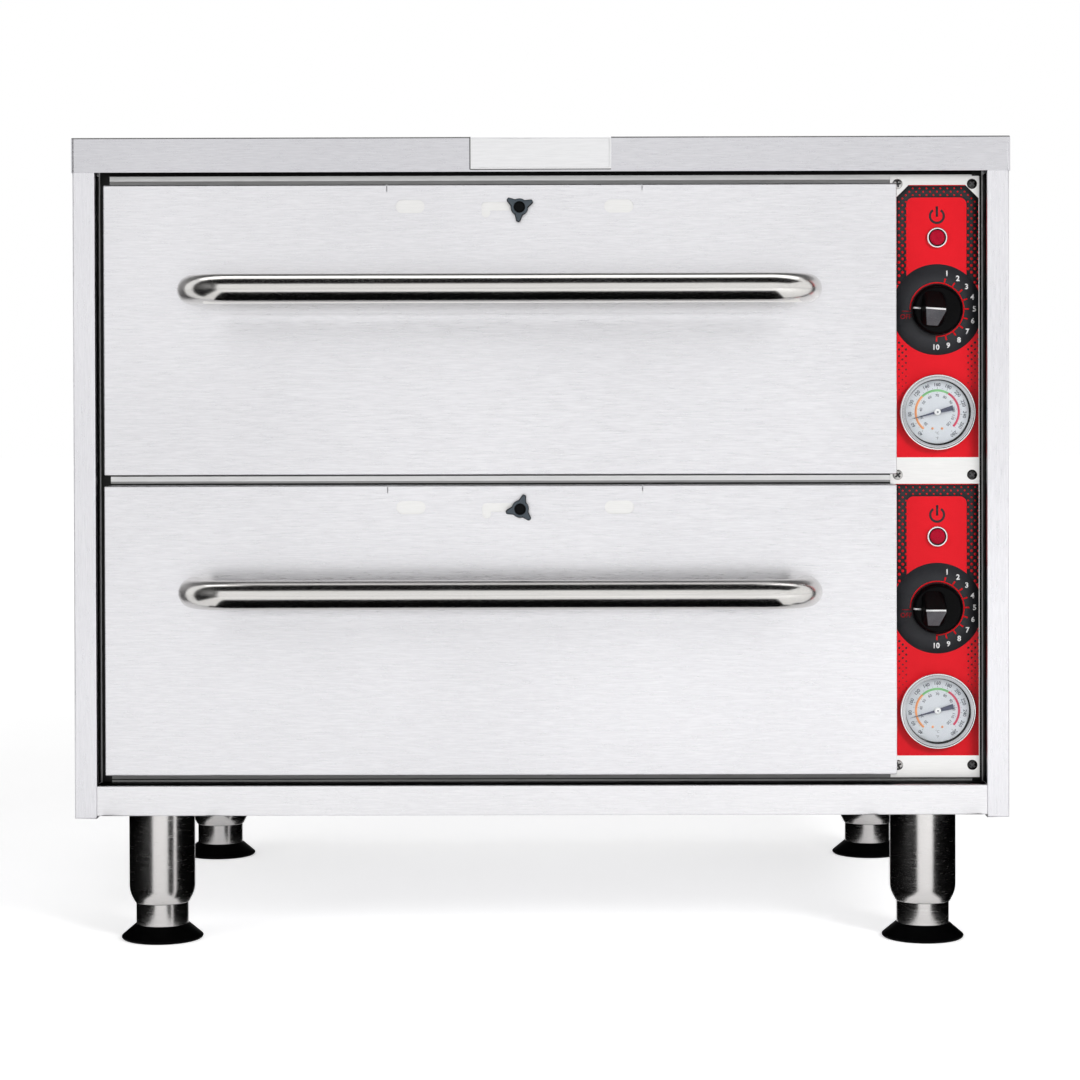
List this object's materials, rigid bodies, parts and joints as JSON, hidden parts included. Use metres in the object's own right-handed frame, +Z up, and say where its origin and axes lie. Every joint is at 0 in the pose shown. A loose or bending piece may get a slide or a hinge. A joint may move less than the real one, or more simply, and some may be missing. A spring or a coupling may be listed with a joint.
{
  "type": "warming drawer",
  "caption": "Free-standing brushed-steel food warmer with stacked sliding pan drawers, tubular handles, dial controls with thermometers on the right, and adjustable legs.",
  "frame": {"origin": "on the floor under the middle of the part's box", "axes": "+X to the right seen from the front, -Y out of the front, +Z up"},
  "size_m": [0.7566, 0.5908, 0.656],
  "materials": {
    "panel_steel": "horizontal fine brushed grain",
    "plain_steel": "mill finish",
    "control_plate": "bright plain",
    "name_plate": "satin, blank",
    "handle_steel": "polished along the tube",
    "leg_steel": "satin turned",
    "pan_steel": "satin",
    "label_print": "printed film",
    "dial_black": "gloss",
    "vent_knob_slate": "moulded satin",
    "rubber_black": "matt",
    "bezel_chrome": "polished",
    "lens_red": "faceted translucent",
    "dial_white": "printed",
    "needle_black": "satin",
    "clear_glass": "clear",
    "wool": "mineral wool",
    "thermostat_body": "moulded",
    "heater_dark": "heat darkened",
    "roller_nylon": "moulded nylon",
    "screw_dark": "black plated",
    "screw_bright": "plated",
    "gland_black": "moulded"
  },
  "bodies": {
    "cabinet": {"left_side_panel": "panel_steel", "right_side_panel": "panel_steel", "top_cover": "panel_steel", "back_panel": "panel_steel", "base_pan": "panel_steel", "front_frame": "panel_steel", "cavity_liner": "plain_steel", "cavity_shelf": "plain_steel", "control_bulkhead": "plain_steel", "insulation_batts": "wool", "nameplate": "name_plate", "control_panel": "control_plate", "upper_label": "label_print", "lower_label": "label_print", "pilot_bezels": "bezel_chrome", "pilot_lenses": "lens_red", "thermostats": "thermostat_body", "thermometer_cases": "bezel_chrome", "thermometer_dials": "dial_white", "thermometer_glasses": "clear_glass", "heating_elements": "heater_dark", "slide_rails": "plain_steel", "leg_tubes": "leg_steel", "panel_screws": "screw_dark", "body_screws": "screw_bright", "cord_gland": "gland_black", "drawer_bumpers": "rubber_black"},
    "lower_drawer": {"lower_drawer_front": "panel_steel", "lower_drawer_backing": "plain_steel", "lower_handle": "handle_steel", "lower_handle_bolts": "plain_steel", "lower_carriage": "plain_steel", "lower_pan": "pan_steel"},
    "lower_vent": {"lower_vent_slide": "plain_steel"},
    "lower_vent_grip": {"lower_vent_knob": "vent_knob_slate"},
    "lower_front_wheels": {"lower_front_rollers": "roller_nylon"},
    "lower_rear_wheels": {"lower_rear_rollers": "roller_nylon"},
    "lower_dial": {"lower_dial_knob": "dial_black"},
    "lower_pointer": {"lower_needle": "needle_black"},
    "upper_drawer": {"upper_drawer_front": "panel_steel", "upper_drawer_backing": "plain_steel", "upper_handle": "handle_steel", "upper_handle_bolts": "plain_steel", "upper_carriage": "plain_steel", "upper_pan": "pan_steel"},
    "upper_vent": {"upper_vent_slide": "plain_steel"},
    "upper_vent_grip": {"upper_vent_knob": "vent_knob_slate"},
    "upper_front_wheels": {"upper_front_rollers": "roller_nylon"},
    "upper_rear_wheels": {"upper_rear_rollers": "roller_nylon"},
    "upper_dial": {"upper_dial_knob": "dial_black"},
    "upper_pointer": {"upper_needle": "needle_black"},
    "front_left_leg_foot": {"front_left_insert": "leg_steel", "front_left_foot": "rubber_black"},
    "front_right_leg_foot": {"front_right_insert": "leg_steel", "front_right_foot": "rubber_black"},
    "rear_left_leg_foot": {"rear_left_insert": "leg_steel", "rear_left_foot": "rubber_black"},
    "rear_right_leg_foot": {"rear_right_insert": "leg_steel", "rear_right_foot": "rubber_black"}
  },
  "joints": [
    {"name": "lower_drawer_slide", "type": "slide", "parent": "cabinet", "child": "lower_drawer", "axis": [0, -1, 0], "range_m": [0, 0.345]},
    {"name": "lower_vent_shift", "type": "slide", "parent": "lower_drawer", "child": "lower_vent", "axis": [-1, 0, 0], "range_m": [0, 0.027]},
    {"name": "lower_vent_knob_turn", "type": "hinge", "parent": "lower_vent", "child": "lower_vent_grip", "pos_m": [-0.0169, -0.23892, 0.3566], "axis": [0, -1, 0], "range_deg": [0, 360]},
    {"name": "lower_front_roll", "type": "hinge", "parent": "cabinet", "child": "lower_front_wheels", "pos_m": [0, -0.20142, 0.2368], "axis": [1, 0, 0], "range_deg": [0, 1800]},
    {"name": "lower_rear_roll", "type": "hinge", "parent": "lower_drawer", "child": "lower_rear_wheels", "pos_m": [0, 0.16958, 0.2368], "axis": [1, 0, 0], "range_deg": [0, 1800]},
    {"name": "lower_dial_turn", "type": "hinge", "parent": "cabinet", "child": "lower_dial", "pos_m": [0.32155, -0.21882, 0.2741], "axis": [0, 1, 0], "range_deg": [0, 270]},
    {"name": "lower_needle_turn", "type": "hinge", "parent": "cabinet", "child": "lower_pointer", "pos_m": [0.32155, -0.21882, 0.191], "axis": [0, 1, 0], "range_deg": [-30, 240], "stiffness_Nm_per_rad": 0.0005},
    {"name": "upper_drawer_slide", "type": "slide", "parent": "cabinet", "child": "upper_drawer", "axis": [0, -1, 0], "range_m": [0, 0.345]},
    {"name": "upper_vent_shift", "type": "slide", "parent": "upper_drawer", "child": "upper_vent", "axis": [-1, 0, 0], "range_m": [0, 0.027]},
    {"name": "upper_vent_knob_turn", "type": "hinge", "parent": "upper_vent", "child": "upper_vent_grip", "pos_m": [-0.0169, -0.23892, 0.5991], "axis": [0, -1, 0], "range_deg": [0, 360]},
    {"name": "upper_front_roll", "type": "hinge", "parent": "cabinet", "child": "upper_front_wheels", "pos_m": [0, -0.20142, 0.4793], "axis": [1, 0, 0], "range_deg": [0, 1800]},
    {"name": "upper_rear_roll", "type": "hinge", "parent": "upper_drawer", "child": "upper_rear_wheels", "pos_m": [0, 0.16958, 0.4793], "axis": [1, 0, 0], "range_deg": [0, 1800]},
    {"name": "upper_dial_turn", "type": "hinge", "parent": "cabinet", "child": "upper_dial", "pos_m": [0.32155, -0.21882, 0.5166], "axis": [0, 1, 0], "range_deg": [0, 270]},
    {"name": "upper_needle_turn", "type": "hinge", "parent": "cabinet", "child": "upper_pointer", "pos_m": [0.32155, -0.21882, 0.4335], "axis": [0, 1, 0], "range_deg": [-30, 240], "stiffness_Nm_per_rad": 0.0005},
    {"name": "front_left_foot_adjust", "type": "slide", "parent": "cabinet", "child": "front_left_leg_foot", "axis": [0, 0, -1], "range_m": [0, 0.025]},
    {"name": "front_right_foot_adjust", "type": "slide", "parent": "cabinet", "child": "front_right_leg_foot", "axis": [0, 0, -1], "range_m": [0, 0.025]},
    {"name": "rear_left_foot_adjust", "type": "slide", "parent": "cabinet", "child": "rear_left_leg_foot", "axis": [0, 0, -1], "range_m": [0, 0.025]},
    {"name": "rear_right_foot_adjust", "type": "slide", "parent": "cabinet", "child": "rear_right_leg_foot", "axis": [0, 0, -1], "range_m": [0, 0.025]}
  ],
  "couplings": [
    {"joint": "lower_front_roll", "follows": "lower_drawer_slide", "rad_per_m": 90.909},
    {"joint": "lower_rear_roll", "follows": "lower_drawer_slide", "rad_per_m": 90.909},
    {"joint": "upper_front_roll", "follows": "upper_drawer_slide", "rad_per_m": 90.909},
    {"joint": "upper_rear_roll", "follows": "upper_drawer_slide", "rad_per_m": 90.909}
  ]
}
